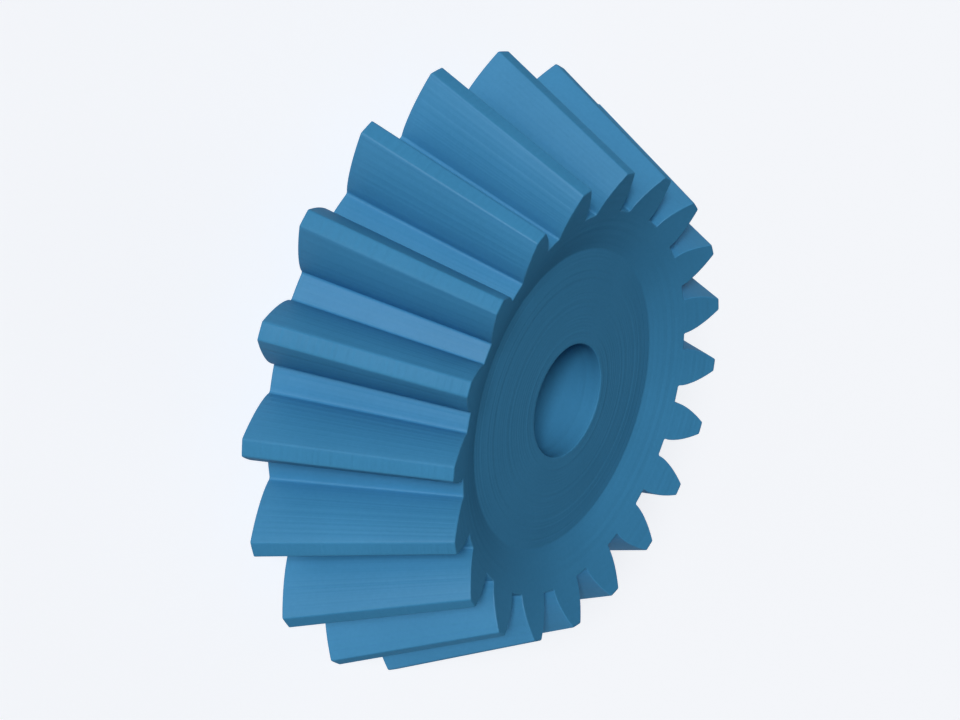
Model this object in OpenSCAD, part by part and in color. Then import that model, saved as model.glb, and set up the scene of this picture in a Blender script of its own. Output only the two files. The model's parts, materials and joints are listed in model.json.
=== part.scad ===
// Straight bevel pinion with a plain round bore, cut from one piece.
// The axis is +Z, the back face lies on Z = 0 and the teeth narrow upwards, from the heel to the toe.

/* [Teeth] */
// Teeth on the pinion
pinion_teeth = 20; // [16:1:28]
// Teeth on the wheel that it meshes with, on a shaft at a right angle
wheel_teeth = 40; // [32:1:60]
// Module at the heel, the large end of the teeth
heel_module = 2; // [1.5:0.25:3]
// Pressure angle of the flanks in degrees
pressure_angle = 20; // [18:0.5:22]
// Length of the teeth along the pitch cone
face_width = 12.5; // [8:0.5:15]
// Play taken off the thickness of a tooth at the heel
backlash = 0.05; // [0:0.01:0.2]
// Radius in the corners at the foot of a tooth, at the heel
root_fillet = 0.2; // [0.1:0.02:0.3]

/* [Body] */
// Diameter of the bore for the shaft
bore_d = 8; // [5:0.5:12]
// Rim under the teeth at the toe, along the front cone
toe_rim = 3.12; // [2:0.02:4]
// Rim under the teeth at the heel, along the back cone
heel_rim = 5; // [3:0.1:7]

/* [Fineness] */
// Steps along each involute flank
flank_steps = 12; // [6:1:16]
// Steps round each root fillet
fillet_steps = 4; // [2:1:6]
// Steps round a full turn
turn_steps = 96; // [48:8:160]

/* [Hidden] */

// How far the cutters reach past what they cut
cut_margin = 1;
// How far a flank is drawn on past the tip, in degrees of cone angle
tip_overrun = 0.3;
// How far the open mouth of a tooth space lies outside the tip, in degrees of cone angle
mouth_overrun = 3;

// Depths in modules, by the long addendum system
working_share = 2;
whole_share = 2.188;
// The wheel's addendum in modules: its least value, and what it gains as the two gears come to one size
wheel_share_least = 0.54;
wheel_share_gain = 0.46;

// The pinion's teeth are raised and the wheel's lowered by the same amount
working_depth = working_share * heel_module;
whole_depth = whole_share * heel_module;
wheel_addendum = (wheel_share_least + wheel_share_gain * pow(pinion_teeth / wheel_teeth, 2)) * heel_module;
addendum = working_depth - wheel_addendum;
dedendum = whole_depth - addendum;
wheel_dedendum = whole_depth - wheel_addendum;

// Pitch cone, with cone distances measured from the apex that both gears share
pitch_angle = atan(pinion_teeth / wheel_teeth);
heel_distance = heel_module * pinion_teeth / 2 / sin(pitch_angle);
toe_distance = heel_distance - face_width;
toe_share = toe_distance / heel_distance;

// The tip cone runs parallel to the wheel's roots, and the root cone runs to the shared apex
addendum_angle = atan(wheel_dedendum / heel_distance);
root_angle = pitch_angle - atan(dedendum / heel_distance);
base_angle = asin(cos(pressure_angle) * sin(pitch_angle));
tip_angle = pitch_angle + atan(addendum / heel_distance);
toe_addendum = addendum - face_width * tan(addendum_angle);
toe_dedendum = dedendum * toe_share;

// A point on the front or back cone, as [radius, depth below the apex]: distance is the cone's own cone
// distance, and height is counted outwards from the pitch cone
function on_cone(distance, height) = [
    distance * sin(pitch_angle) + height * cos(pitch_angle),
    distance * cos(pitch_angle) - height * sin(pitch_angle)
];

heel_tip = on_cone(heel_distance, addendum);
heel_root = on_cone(heel_distance, -dedendum);
heel_foot = on_cone(heel_distance, -dedendum - heel_rim);
toe_tip = on_cone(toe_distance, toe_addendum);
toe_foot = on_cone(toe_distance, -toe_dedendum - toe_rim);

// Distance from the back face up to the apex, which sets where the pinion sits against its wheel
mounting_distance = heel_foot[1];
front_height = mounting_distance - toe_foot[1];

// Tooth spaces are drawn on a plane below the heel and shrink towards the apex
space_floor = heel_root[1] + cut_margin;
space_ceiling = toe_tip[1] - cut_margin;

// Half of a tooth and the whole pitch, as angles about the axis
pitch_step = 360 / pinion_teeth;
tooth_thickness = PI * heel_module / 2 + (addendum - wheel_addendum) * tan(pressure_angle) - backlash;
pitch_half_angle = tooth_thickness / (heel_module * pinion_teeth) * 180 / PI;

// Turn about the axis between the base cone and the point of a spherical involute at a cone angle
function involute_turn(cone) =
    acos(min(1, cos(cone) / cos(base_angle))) / sin(base_angle)
    - acos(min(1, tan(base_angle) / tan(cone)));

// Half of a tooth space at a cone angle. Below the base cone the flank runs straight to the apex
function half_space(cone) =
    pitch_step / 2 - pitch_half_angle - involute_turn(pitch_angle) + involute_turn(max(cone, base_angle));

// Point at a radius and at an angle about the axis
function polar(radius, angle) = [radius * cos(angle), radius * sin(angle)];

// One flank of a tooth space on the plane at a depth below the apex, from its mouth to its root
function flank(depth) =
    let (
        root_radius = depth * tan(root_angle),
        fillet = root_fillet * depth / heel_root[1],
        fillet_top = atan((root_radius + fillet) / depth),
        flank_start = max(fillet_top, base_angle),
        flank_end = tip_angle + tip_overrun,
        mouth = [polar(depth * tan(flank_end + mouth_overrun), half_space(flank_end))],
        involute = [
            for (i = [flank_steps : -1 : 0])
                let (cone = flank_start + (flank_end - flank_start) * i / flank_steps)
                    polar(depth * tan(cone), half_space(cone))
        ],
        corner = [
            for (i = [0 : fillet_steps])
                let (
                    turn = 90 * i / fillet_steps,
                    radius = root_radius + fillet * (1 - sin(turn)),
                    inset = fillet * (1 - cos(turn)) / radius * 180 / PI
                )
                    polar(radius, half_space(fillet_top) - inset)
        ]
    )
    concat(mouth, involute, flank_start > fillet_top ? corner : [for (i = [1 : fillet_steps]) corner[i]]);

// Both flanks of a tooth space, mirrored about the X axis
function space_outline(depth) =
    let (
        upper = flank(depth),
        last = len(upper) - 1
    )
    concat(upper, [for (i = [last : -1 : 0]) [upper[i][0], -upper[i][1]]]);

// The turned blank: back face, back cone, tip cone, front cone and front face, with no bore yet
module turned_blank() {
    rotate_extrude($fn = turn_steps)
        polygon([
            [0, 0],
            [heel_foot[0], 0],
            [heel_tip[0], mounting_distance - heel_tip[1]],
            [toe_tip[0], mounting_distance - toe_tip[1]],
            [toe_foot[0], front_height],
            [0, front_height]
        ]);
}

module bore() {
    translate([0, 0, -cut_margin])
        cylinder(d = bore_d, h = front_height + 2 * cut_margin, $fn = turn_steps);
}

// One space between two teeth, centred on the X axis
module tooth_space() {
    translate([0, 0, mounting_distance - space_floor])
        linear_extrude(height = space_floor - space_ceiling, scale = space_ceiling / space_floor)
            polygon(space_outline(space_floor));
}

// The spaces are turned by half a pitch, so that a tooth stands on the X axis
module bevel_pinion() {
    color("steelblue")
        difference() {
            turned_blank();
            bore();
            for (i = [0 : pinion_teeth - 1])
                rotate((i + 0.5) * pitch_step)
                    tooth_space();
        }
}

bevel_pinion();
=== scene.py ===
import json
import math

import bpy
from mathutils import Matrix, Vector


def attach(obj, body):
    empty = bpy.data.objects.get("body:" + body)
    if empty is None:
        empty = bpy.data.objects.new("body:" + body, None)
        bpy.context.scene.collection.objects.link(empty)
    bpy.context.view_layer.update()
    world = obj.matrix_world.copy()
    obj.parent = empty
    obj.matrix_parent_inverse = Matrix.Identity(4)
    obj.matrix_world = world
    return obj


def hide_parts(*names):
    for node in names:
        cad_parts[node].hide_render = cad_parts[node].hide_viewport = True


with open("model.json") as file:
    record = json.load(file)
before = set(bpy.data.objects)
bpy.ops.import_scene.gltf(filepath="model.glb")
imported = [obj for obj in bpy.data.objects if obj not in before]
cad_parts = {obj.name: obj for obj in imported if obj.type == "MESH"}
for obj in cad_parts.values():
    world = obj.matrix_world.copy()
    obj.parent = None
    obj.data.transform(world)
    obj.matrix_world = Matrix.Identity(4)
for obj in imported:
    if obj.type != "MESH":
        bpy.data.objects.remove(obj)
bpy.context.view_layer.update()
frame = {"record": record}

# Driving sizes of the pinion, in millimetres
MM = 0.001
MOUNTS = {mount["name"]: mount for mount in frame["record"]["mounts"]}
TEETH = 20
WHEEL_TEETH = 40
HEEL_MODULE = 2.0
PRESSURE_ANGLE = math.radians(20)
FACE_WIDTH = 12.5
BACKLASH = 0.05
ROOT_FILLET = 0.2
TOE_RIM = 3.12
HEEL_RIM = 5.0
BORE_RADIUS = MOUNTS["bore"]["dims"]["r_mm"]

# Tooth depths in modules, and the wheel's addendum: its least value, and what it gains at equal sizes
WORKING_SHARE = 2.0
WHOLE_SHARE = 2.188
WHEEL_SHARE_LEAST = 0.54
WHEEL_SHARE_GAIN = 0.46

# Tooth proportions at the heel: long teeth on the pinion, short ones on the wheel that it meets
TOOTH_RATIO = TEETH / WHEEL_TEETH
WORKING_DEPTH = WORKING_SHARE * HEEL_MODULE
WHOLE_DEPTH = WHOLE_SHARE * HEEL_MODULE
WHEEL_ADDENDUM = (WHEEL_SHARE_LEAST + WHEEL_SHARE_GAIN * TOOTH_RATIO ** 2) * HEEL_MODULE
WHEEL_DEDENDUM = WHOLE_DEPTH - WHEEL_ADDENDUM
ADDENDUM = WORKING_DEPTH - WHEEL_ADDENDUM
DEDENDUM = WHOLE_DEPTH - ADDENDUM

# Cones about the apex: the face cone keeps an even clearance to the wheel's roots
PITCH_ANGLE = math.atan(TOOTH_RATIO)
HEEL_DISTANCE = HEEL_MODULE * TEETH / 2 / math.sin(PITCH_ANGLE)
TOE_DISTANCE = HEEL_DISTANCE - FACE_WIDTH
TOE_ADDENDUM = ADDENDUM - FACE_WIDTH * WHEEL_DEDENDUM / HEEL_DISTANCE
HEEL_TIP_ANGLE = PITCH_ANGLE + math.atan(ADDENDUM / HEEL_DISTANCE)
TOE_TIP_ANGLE = PITCH_ANGLE + math.atan(TOE_ADDENDUM / TOE_DISTANCE)
ROOT_ANGLE = PITCH_ANGLE - math.atan(DEDENDUM / HEEL_DISTANCE)
BASE_ANGLE = math.asin(math.cos(PRESSURE_ANGLE) * math.sin(PITCH_ANGLE))
APEX_HEIGHT = HEEL_DISTANCE * math.cos(PITCH_ANGLE) + (DEDENDUM + HEEL_RIM) * math.sin(PITCH_ANGLE)

# Half of a tooth at the pitch cone, as an angle about the axis
TOOTH_THICKNESS = (
    math.pi * HEEL_MODULE / 2 + (ADDENDUM - WHEEL_ADDENDUM) * math.tan(PRESSURE_ANGLE) - BACKLASH
)
HALF_TOOTH = TOOTH_THICKNESS / (HEEL_MODULE * TEETH)

# Broken edges, in millimetres: only true edges turn more sharply than the limit
EDGE_BREAK = 0.09
EDGE_BREAK_STEPS = 3
EDGE_LIMIT = math.radians(20)

# Columns of faces from the middle of a tooth to the middle of the space beside it
TIP_STEPS = 3
FLANK_STEPS = 14
FILLET_STEPS = 6
ROOT_STEPS = 4
HALF_COLUMNS = TIP_STEPS + FLANK_STEPS + FILLET_STEPS + ROOT_STEPS

# Rows of points round the section, from the bore's back end past the teeth to the bore again
ROWS = 9
HEEL_ROW = 3
TOE_ROW = 4
# How far under the roots the first ring of points lies, as a share of the rim there
RING_SHARE = 0.3
# Points closer than this, in millimetres, become one where copies meet
SEAM_GAP = 0.002

# Finish of the nylon: the mean blue and its gentle spread, and the least and most roughness
NYLON_BLUE = (0.046, 0.232, 0.436)
BLUE_SPREAD = 0.05
NYLON_ROUGHNESS = (0.70, 0.86)
NYLON_IOR = 1.53
NYLON_SPECULAR = 0.01
# Its sheen, as the least and most weight of a thin coat: planed teeth shine more than turned faces
TURNED_SHEEN = (0.05, 0.08)
PLANED_SHEEN = (0.16, 0.20)
SHEEN_ROUGHNESS = 0.5
SHEEN_IOR = 2.0
# Patches and flecks in the blue, in millimetres, and the patches' share of the tone
PATCH_SIZE = 6.0
FLECK_SIZE = 0.25
PATCH_SHARE = 0.6
# The noise keeps within these values nearly everywhere
NOISE_LOW = 0.3
NOISE_HIGH = 0.7
# The lathe's and the cutter's marks, in millimetres, and how far finer marks are laid over them
TURNING_PITCH = 0.4
TURNING_DEPTH = 0.045
PLANING_PITCH = 0.3
PLANING_DEPTH = 0.03
MARK_OCTAVES = 1.0
# The lathe's marks follow this much of the height beside the radius, so that no turned face lacks them
TURNING_SLANT = 0.7

# Pale studio: levels are shares of a colour's written brightness, angles are in degrees
PALE = (0.905, 0.922, 0.956)
DOME_LEVEL = 0.05
# How pale the floor is under the lamps, and the share of its glow that lights the gear from below
FLOOR_SHADE = 0.45
FLOOR_LIGHT = 0.3
# How far the floor reaches to each side, and how far under the gear it lies, in metres
FLOOR_REACH = 2.0
FLOOR_DROP = 0.01 * MM
# Each lamp's azimuth, elevation, width and level, and whether gloss shows it
LAMPS = {
    "key_lamp": (44.0, 28.0, 16.0, 0.75, True),
    "low_lamp": (50.0, 3.0, 24.0, 0.13, True),
    "side_lamp": (-97.0, 0.0, 24.0, 0.45, False),
    "back_lamp": (-161.0, 0.0, 24.0, 0.45, False),
}

# Camera: it stands close to the gear and is rolled, so that the gear's axis lies across the picture
CAMERA_AIM = Vector((3.690, 3.143, 7.5)) * MM
CAMERA_DISTANCE = 87.43 * MM
CAMERA_AZIMUTH = 50.69
CAMERA_ELEVATION = 33.86
CAMERA_ROLL = 107.35
CAMERA_LENS = 48.985
CAMERA_SENSOR = 36.0
CAMERA_NEAR = 1.0 * MM


class Term:
    """A number in a node tree. Arithmetic on terms adds Math nodes to the tree."""

    def __init__(self, tree, socket):
        self.tree = tree
        self.socket = socket

    def math(self, operation, *others):
        node = self.tree.nodes.new("ShaderNodeMath")
        node.operation = operation
        for place, source in zip(node.inputs, (self, *others)):
            plug(place, source)
        return Term(self.tree, node.outputs[0])

    def swapped(self, operation, first):
        node = self.tree.nodes.new("ShaderNodeMath")
        node.operation = operation
        plug(node.inputs[0], first)
        plug(node.inputs[1], self)
        return Term(self.tree, node.outputs[0])

    def __add__(self, other):
        return self.math("ADD", other)

    def __radd__(self, other):
        return self.math("ADD", other)

    def __sub__(self, other):
        return self.math("SUBTRACT", other)

    def __rsub__(self, other):
        return self.swapped("SUBTRACT", other)

    def __mul__(self, other):
        return self.math("MULTIPLY", other)

    def __rmul__(self, other):
        return self.math("MULTIPLY", other)

    def __truediv__(self, other):
        return self.math("DIVIDE", other)

    def __rtruediv__(self, other):
        return self.swapped("DIVIDE", other)

    def __gt__(self, other):
        return self.math("GREATER_THAN", other)

    def __lt__(self, other):
        return self.math("LESS_THAN", other)

    def sin(self):
        return self.math("SINE")

    def cos(self):
        return self.math("COSINE")

    def tan(self):
        return self.math("TANGENT")

    def clamped_acos(self):
        return self.math("MINIMUM", 1.0).math("ARCCOSINE")

    def clamped(self):
        return self.math("MAXIMUM", 0.0).math("MINIMUM", 1.0)


def plug(place, source):
    """Joins a term or a socket to an input, or sets the input to a plain value."""
    if isinstance(source, Term):
        source = source.socket
    if isinstance(source, bpy.types.NodeSocket):
        place.id_data.links.new(source, place)
    else:
        place.default_value = source


def add_node(tree, kind, settings=None, **inputs):
    """A new node with its settings made, and its inputs joined by their names in lower case."""
    node = tree.nodes.new(kind)
    for name, value in (settings or {}).items():
        setattr(node, name, value)
    places = {place.name.lower().replace(" ", "_"): place for place in reversed(node.inputs)}
    for name, source in inputs.items():
        plug(places[name], source)
    return node


def parts_of(tree, vector):
    """The three terms of a vector."""
    split = add_node(tree, "ShaderNodeSeparateXYZ", vector=vector)
    return [Term(tree, output) for output in split.outputs]


# Sizes that the pinion's node tree takes, by their names there
PINION_SIZES = {
    "Teeth": TEETH,
    "Pitch angle": PITCH_ANGLE,
    "Root angle": ROOT_ANGLE,
    "Base angle": BASE_ANGLE,
    "Heel tip angle": HEEL_TIP_ANGLE,
    "Toe tip angle": TOE_TIP_ANGLE,
    "Heel distance": HEEL_DISTANCE,
    "Toe distance": TOE_DISTANCE,
    "Half tooth": HALF_TOOTH,
    "Root fillet": ROOT_FILLET,
    "Heel rim": HEEL_RIM,
    "Toe rim": TOE_RIM,
    "Bore radius": BORE_RADIUS,
}


def pinion_tree():
    """The pinion by rule: a flat grid is bent into one pitch, and turned copies make the rest."""
    tree = bpy.data.node_groups.new("pinion_by_rule", "GeometryNodeTree")
    for name, value in PINION_SIZES.items():
        kind = "NodeSocketInt" if isinstance(value, int) else "NodeSocketFloat"
        tree.interface.new_socket(name, in_out="INPUT", socket_type=kind)
    for name in ("Turned finish", "Planed finish"):
        tree.interface.new_socket(name, in_out="INPUT", socket_type="NodeSocketMaterial")
    tree.interface.new_socket("Pinion", in_out="OUTPUT", socket_type="NodeSocketGeometry")
    given = tree.nodes.new("NodeGroupInput").outputs
    (teeth, pitch, root, base, heel_tip, toe_tip, heel, toe, half_tooth, fillet, heel_rim, toe_rim,
     bore) = (Term(tree, given[name]) for name in PINION_SIZES)
    half_pitch = math.pi / teeth

    # The grid holds each point's column and row in its place
    grid = add_node(
        tree,
        "GeometryNodeMeshGrid",
        size_x=2.0 * HALF_COLUMNS,
        size_y=ROWS - 1.0,
        vertices_x=2 * HALF_COLUMNS + 1,
        vertices_y=ROWS,
    )
    column, lift, _ = parts_of(tree, tree.nodes.new("GeometryNodeInputPosition").outputs[0])
    row = lift + (ROWS - 1) / 2
    steps = column.math("ABSOLUTE")

    # How far a column has come along the tip, the flank, the fillet and the root
    along_tip = (steps / TIP_STEPS).clamped()
    along_flank = ((steps - TIP_STEPS) / FLANK_STEPS).clamped()
    along_fillet = ((steps - (TIP_STEPS + FLANK_STEPS)) / FILLET_STEPS).clamped()
    along_root = ((steps - (HALF_COLUMNS - ROOT_STEPS)) / ROOT_STEPS).clamped()

    # Spherical involute: the flank's turn about the axis falls off from the base cone to the tip
    def involute(cone):
        rolled = (cone.cos() / base.cos()).clamped_acos() / base.sin()
        return rolled - (base.tan() / cone.tan()).clamped_acos()

    def tooth_turn(cone):
        return half_tooth + involute(pitch) - involute(cone.math("MAXIMUM", base))

    # The outline of a tooth with half a space on each side, on the heel's or the toe's cone
    at_toe = row > (HEEL_ROW + TOE_ROW) / 2
    distance = heel + (toe - heel) * at_toe
    tip = heel_tip + (toe_tip - heel_tip) * at_toe
    fillet_rise = fillet / heel
    fillet_turn = fillet_rise / root.sin()
    flank_end = root + fillet_rise
    flank_cone = tip + (flank_end - tip) * along_flank
    bend = along_fillet * (math.pi / 2)
    cone = flank_cone - fillet_rise * bend.sin()
    land_turn = half_pitch - tooth_turn(flank_end) - fillet_turn
    outline_turn = (
        tooth_turn(flank_cone) * along_tip + fillet_turn * (1.0 - bend.cos()) + land_turn * along_root
    )
    reach = distance / (cone - pitch).cos()
    outline = (reach * cone.sin(), reach * cone.cos())

    # Rings on the same cones, as radius and depth under the apex
    def ring(cone_distance, below_root):
        height = cone_distance * (root - pitch).tan() - below_root
        radius = cone_distance * pitch.sin() + height * pitch.cos()
        return radius, cone_distance * pitch.cos() - height * pitch.sin()

    heel_foot = ring(heel, heel_rim)
    toe_foot = ring(toe, toe_rim)
    section = [
        (bore, heel_foot[1]),
        heel_foot,
        ring(heel, heel_rim * RING_SHARE),
        outline,
        outline,
        ring(toe, toe_rim * RING_SHARE),
        toe_foot,
        (bore, toe_foot[1]),
        (bore, heel_foot[1]),
    ]

    def by_row(values):
        switch = add_node(tree, "GeometryNodeIndexSwitch", {"data_type": "FLOAT"}, index=row.math("ROUND"))
        while len(switch.index_switch_items) < len(values):
            switch.index_switch_items.new()
        for place, value in zip(switch.inputs[1:], values):
            plug(place, value)
        return Term(tree, switch.outputs[0])

    # Bend the grid into one pitch, and note which faces the cutter planes
    even_turn = half_pitch * steps / HALF_COLUMNS
    turns = [outline_turn if number in (HEEL_ROW, TOE_ROW) else even_turn for number in range(ROWS)]
    turn = by_row(turns) * column.math("SIGN")
    radius = by_row([point[0] for point in section])
    height = heel_foot[1] - by_row([point[1] for point in section])
    bent = add_node(tree, "ShaderNodeCombineXYZ", x=radius * turn.cos(), y=radius * turn.sin(), z=height)
    noted = add_node(
        tree,
        "GeometryNodeStoreNamedAttribute",
        {"data_type": "BOOLEAN", "domain": "FACE"},
        geometry=grid.outputs["Mesh"],
        name="planed",
        value=(row > HEEL_ROW) * (row < TOE_ROW) * (steps > TIP_STEPS),
    )
    one_pitch = add_node(
        tree, "GeometryNodeSetPosition", geometry=noted.outputs[0], position=bent.outputs[0]
    )

    # Turn a copy to every tooth and close the seams
    number = Term(tree, tree.nodes.new("GeometryNodeInputIndex").outputs[0])
    turned = add_node(tree, "ShaderNodeCombineXYZ", z=number * half_pitch * 2.0)
    copies = add_node(
        tree,
        "GeometryNodeInstanceOnPoints",
        points=add_node(tree, "GeometryNodePoints", count=teeth).outputs[0],
        instance=one_pitch.outputs[0],
        rotation=turned.outputs[0],
    )
    real = add_node(tree, "GeometryNodeRealizeInstances", geometry=copies.outputs[0])
    closed = add_node(tree, "GeometryNodeMergeByDistance", geometry=real.outputs[0], distance=SEAM_GAP)
    smooth = add_node(tree, "GeometryNodeSetShadeSmooth", geometry=closed.outputs[0])
    all_turned = add_node(
        tree, "GeometryNodeSetMaterial", geometry=smooth.outputs[0], material=given["Turned finish"]
    )
    planed = add_node(tree, "GeometryNodeInputNamedAttribute", {"data_type": "BOOLEAN"}, name="planed")
    finished = add_node(
        tree,
        "GeometryNodeSetMaterial",
        geometry=all_turned.outputs[0],
        selection=planed.outputs[0],
        material=given["Planed finish"],
    )
    add_node(tree, "NodeGroupOutput", pinion=finished.outputs[0])
    return tree


def make_pinion(turned_finish, planed_finish):
    """The pinion as a plain mesh in metres, with its edges broken."""
    maker = bpy.data.objects.new("pinion_maker", bpy.data.meshes.new("pinion_maker"))
    bpy.context.scene.collection.objects.link(maker)
    by_rule = maker.modifiers.new("by_rule", "NODES")
    by_rule.node_group = pinion_tree()
    values = {**PINION_SIZES, "Turned finish": turned_finish, "Planed finish": planed_finish}
    for socket in by_rule.node_group.interface.items_tree:
        if socket.in_out == "INPUT":
            by_rule[socket.identifier] = values[socket.name]
    edges = maker.modifiers.new("edges", "BEVEL")
    edges.width = EDGE_BREAK
    edges.segments = EDGE_BREAK_STEPS
    edges.limit_method = "ANGLE"
    edges.angle_limit = EDGE_LIMIT
    maker.modifiers.new("flat_faces", "WEIGHTED_NORMAL")
    made = maker.evaluated_get(bpy.context.evaluated_depsgraph_get())
    mesh = bpy.data.meshes.new_from_object(made)
    bpy.data.objects.remove(maker)
    mesh.attributes.remove(mesh.attributes["planed"])
    mesh.transform(Matrix.Scale(MM, 4))
    mesh.name = "pinion"
    pinion = bpy.data.objects.new("pinion", mesh)
    bpy.context.scene.collection.objects.link(pinion)
    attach(pinion, "root")
    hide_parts("bevel_pinion")


def nylon_tone_group():
    """Soft patches and fine flecks, as a tone from 0 to 1, over a place in millimetres."""
    group = bpy.data.node_groups.new("nylon_tone", "ShaderNodeTree")
    group.interface.new_socket("Place", in_out="INPUT", socket_type="NodeSocketVector")
    group.interface.new_socket("Patch size", in_out="INPUT", socket_type="NodeSocketFloat")
    group.interface.new_socket("Fleck size", in_out="INPUT", socket_type="NodeSocketFloat")
    group.interface.new_socket("Tone", in_out="OUTPUT", socket_type="NodeSocketFloat")
    given = group.nodes.new("NodeGroupInput").outputs
    noises = []
    for name in ("Patch size", "Fleck size"):
        scale = 1.0 / Term(group, given[name])
        noise = add_node(group, "ShaderNodeTexNoise", vector=given["Place"], scale=scale)
        noises.append(Term(group, noise.outputs[0]))
    patches, flecks = noises
    mixed = patches * PATCH_SHARE + flecks * (1 - PATCH_SHARE)
    tone = ((mixed - NOISE_LOW) / (NOISE_HIGH - NOISE_LOW)).clamped()
    add_node(group, "NodeGroupOutput", tone=tone)
    return group


def turning_marks(tree, place):
    """Rings about the axis, as a lathe tool leaves them."""
    x, y, z = parts_of(tree, place)
    radius = (x * x + y * y).math("SQRT")
    feed = radius - z * TURNING_SLANT
    rings = add_node(
        tree,
        "ShaderNodeTexNoise",
        {"noise_dimensions": "1D"},
        w=feed,
        scale=1 / TURNING_PITCH,
        detail=MARK_OCTAVES,
    )
    return Term(tree, rings.outputs[0])


def planing_marks(tree, place):
    """Streaks that run along the teeth towards the apex, as a planing cutter leaves them."""
    from_apex = add_node(tree, "ShaderNodeVectorMath", {"operation": "SUBTRACT"}, vector=place)
    from_apex.inputs[1].default_value = (0.0, 0.0, APEX_HEIGHT)
    ray = add_node(
        tree, "ShaderNodeVectorMath", {"operation": "NORMALIZE"}, vector=from_apex.outputs[0]
    )
    streaks = add_node(
        tree,
        "ShaderNodeTexNoise",
        vector=ray.outputs[0],
        scale=HEEL_DISTANCE / PLANING_PITCH,
        detail=MARK_OCTAVES,
    )
    return Term(tree, streaks.outputs[0])


def nylon_finish(name, tone_group, marks, depth, sheen):
    """Blue nylon with the marks and the sheen that the tool gave it."""
    material = bpy.data.materials.new(name)
    material.use_nodes = True
    tree = material.node_tree
    in_metres = tree.nodes.new("ShaderNodeTexCoord").outputs["Object"]
    in_mm = add_node(
        tree, "ShaderNodeVectorMath", {"operation": "SCALE"}, vector=in_metres, scale=1 / MM
    )
    place = in_mm.outputs[0]
    tone_node = add_node(
        tree,
        "ShaderNodeGroup",
        {"node_tree": tone_group},
        place=place,
        patch_size=PATCH_SIZE,
        fleck_size=FLECK_SIZE,
    )
    tone = Term(tree, tone_node.outputs[0])
    ramp = add_node(tree, "ShaderNodeValToRGB", fac=tone)
    for stop, spread in zip(ramp.color_ramp.elements, (-BLUE_SPREAD, BLUE_SPREAD)):
        stop.color = (*(part * (1 + spread) for part in NYLON_BLUE), 1.0)
    bump = add_node(tree, "ShaderNodeBump", distance=depth * MM, height=marks(tree, place))
    shader = tree.nodes["Principled BSDF"]
    plug(shader.inputs["Base Color"], ramp.outputs["Color"])
    for socket, (least, most) in (("Roughness", NYLON_ROUGHNESS), ("Coat Weight", sheen)):
        plug(shader.inputs[socket], least + (most - least) * tone)
    for socket in ("Normal", "Coat Normal"):
        plug(shader.inputs[socket], bump.outputs[0])
    shader.inputs["IOR"].default_value = NYLON_IOR
    shader.inputs["Specular IOR Level"].default_value = NYLON_SPECULAR
    shader.inputs["Coat Roughness"].default_value = SHEEN_ROUGHNESS
    shader.inputs["Coat IOR"].default_value = SHEEN_IOR
    return material


def direction(azimuth, elevation):
    """Unit vector away from the gear, with the azimuth counted from +X towards +Y, in degrees."""
    level = math.cos(math.radians(elevation))
    return Vector((
        level * math.cos(math.radians(azimuth)),
        level * math.sin(math.radians(azimuth)),
        math.sin(math.radians(elevation)),
    ))


def seen_ray(tree):
    """One for rays that show the studio to the eye, straight on, in gloss or through glass."""
    path = tree.nodes.new("ShaderNodeLightPath").outputs
    seen = Term(tree, path["Is Camera Ray"])
    return seen.math("MAXIMUM", path["Is Glossy Ray"]).math("MAXIMUM", path["Is Transmission Ray"])


def make_camera():
    """The camera at the picture's own viewing angle."""
    data = bpy.data.cameras.new("camera")
    data.lens = CAMERA_LENS
    data.sensor_width = CAMERA_SENSOR
    data.clip_start = CAMERA_NEAR
    camera = bpy.data.objects.new("camera", data)
    bpy.context.scene.collection.objects.link(camera)
    back = direction(CAMERA_AZIMUTH, CAMERA_ELEVATION)
    spot = Matrix.Translation(CAMERA_AIM + back * CAMERA_DISTANCE)
    level = (-back).to_track_quat("-Z", "Y").to_matrix().to_4x4()
    camera.matrix_world = spot @ level @ Matrix.Rotation(math.radians(CAMERA_ROLL), 4, "Z")
    bpy.context.scene.camera = camera


def make_lamps():
    """Wide lamps far away, so that their shadows are soft."""
    for name, (azimuth, elevation, width, level, in_gloss) in LAMPS.items():
        data = bpy.data.lights.new(name, "SUN")
        data.angle = math.radians(width)
        data.energy = math.pi * level
        lamp = bpy.data.objects.new(name, data)
        bpy.context.scene.collection.objects.link(lamp)
        lamp.visible_glossy = in_gloss
        lamp.rotation_mode = "QUATERNION"
        lamp.rotation_quaternion = (-direction(azimuth, elevation)).to_track_quat("-Z", "Y")


def make_backdrop():
    """A backdrop that is pale to the eye, and lights the gear only faintly."""
    world = bpy.data.worlds.new("pale_studio")
    bpy.context.scene.world = world
    world.use_nodes = True
    backdrop = world.node_tree.nodes["Background"]
    backdrop.inputs["Color"].default_value = (*PALE, 1.0)
    plug(backdrop.inputs["Strength"], DOME_LEVEL + (1 - DOME_LEVEL) * seen_ray(world.node_tree))


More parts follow.
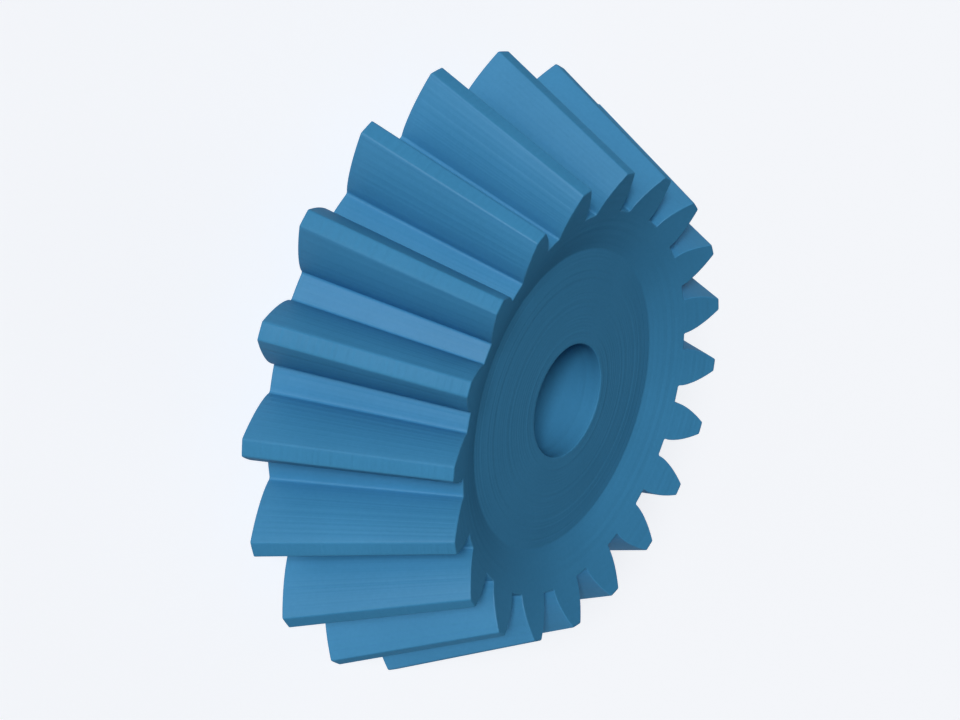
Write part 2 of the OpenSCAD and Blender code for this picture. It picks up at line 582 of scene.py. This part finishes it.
def floor_share(elevation, width):
    """The share of a round lamp's level that the floor gets, also where the floor hides the lamp's foot."""
    half_width = math.radians(width / 2)
    height = math.radians(elevation) / half_width
    if height >= 1:
        return math.sin(math.radians(elevation))
    chord = math.sqrt(1 - height ** 2)
    seen = 0.5 + (math.asin(height) + height * chord) / math.pi
    return half_width * (height * seen + 2 * chord ** 3 / (3 * math.pi))


def make_floor():
    """A matt floor that takes the shadow, and a glow that lifts it to the backdrop's own colour."""
    mesh = bpy.data.meshes.new("floor")
    signs = ((-1, -1), (1, -1), (1, 1), (-1, 1))
    corners = [(x * FLOOR_REACH, y * FLOOR_REACH, -FLOOR_DROP) for x, y in signs]
    mesh.from_pydata(corners, [], [(0, 1, 2, 3)])
    floor = bpy.data.objects.new("floor", mesh)
    bpy.context.scene.collection.objects.link(floor)
    lit = DOME_LEVEL
    for _, elevation, width, level, _ in LAMPS.values():
        lit += level * floor_share(elevation, width)
    glow_colour = [part - lit * FLOOR_SHADE for part in PALE]
    material = bpy.data.materials.new("pale_floor")
    material.use_nodes = True
    tree = material.node_tree
    tree.nodes.clear()
    matt = add_node(tree, "ShaderNodeBsdfDiffuse", color=(FLOOR_SHADE, FLOOR_SHADE, FLOOR_SHADE, 1.0))
    strength = FLOOR_LIGHT + (1 - FLOOR_LIGHT) * seen_ray(tree)
    glow = add_node(tree, "ShaderNodeEmission", color=(*glow_colour, 1.0), strength=strength)
    both = tree.nodes.new("ShaderNodeAddShader")
    plug(both.inputs[0], matt.outputs[0])
    plug(both.inputs[1], glow.outputs[0])
    from_below = tree.nodes.new("ShaderNodeNewGeometry").outputs["Backfacing"]
    one_sided = add_node(tree, "ShaderNodeMixShader", fac=from_below)
    plug(one_sided.inputs[1], both.outputs[0])
    plug(one_sided.inputs[2], tree.nodes.new("ShaderNodeBsdfTransparent").outputs[0])
    add_node(tree, "ShaderNodeOutputMaterial", surface=one_sided.outputs[0])
    mesh.materials.append(material)


make_camera()
make_lamps()
make_backdrop()
make_floor()
bpy.context.scene.view_settings.view_transform = "Standard"

nylon_tone = nylon_tone_group()
turned_nylon = nylon_finish("turned_nylon", nylon_tone, turning_marks, TURNING_DEPTH, TURNED_SHEEN)
planed_nylon = nylon_finish("planed_nylon", nylon_tone, planing_marks, PLANING_DEPTH, PLANED_SHEEN)
make_pinion(turned_nylon, planed_nylon)
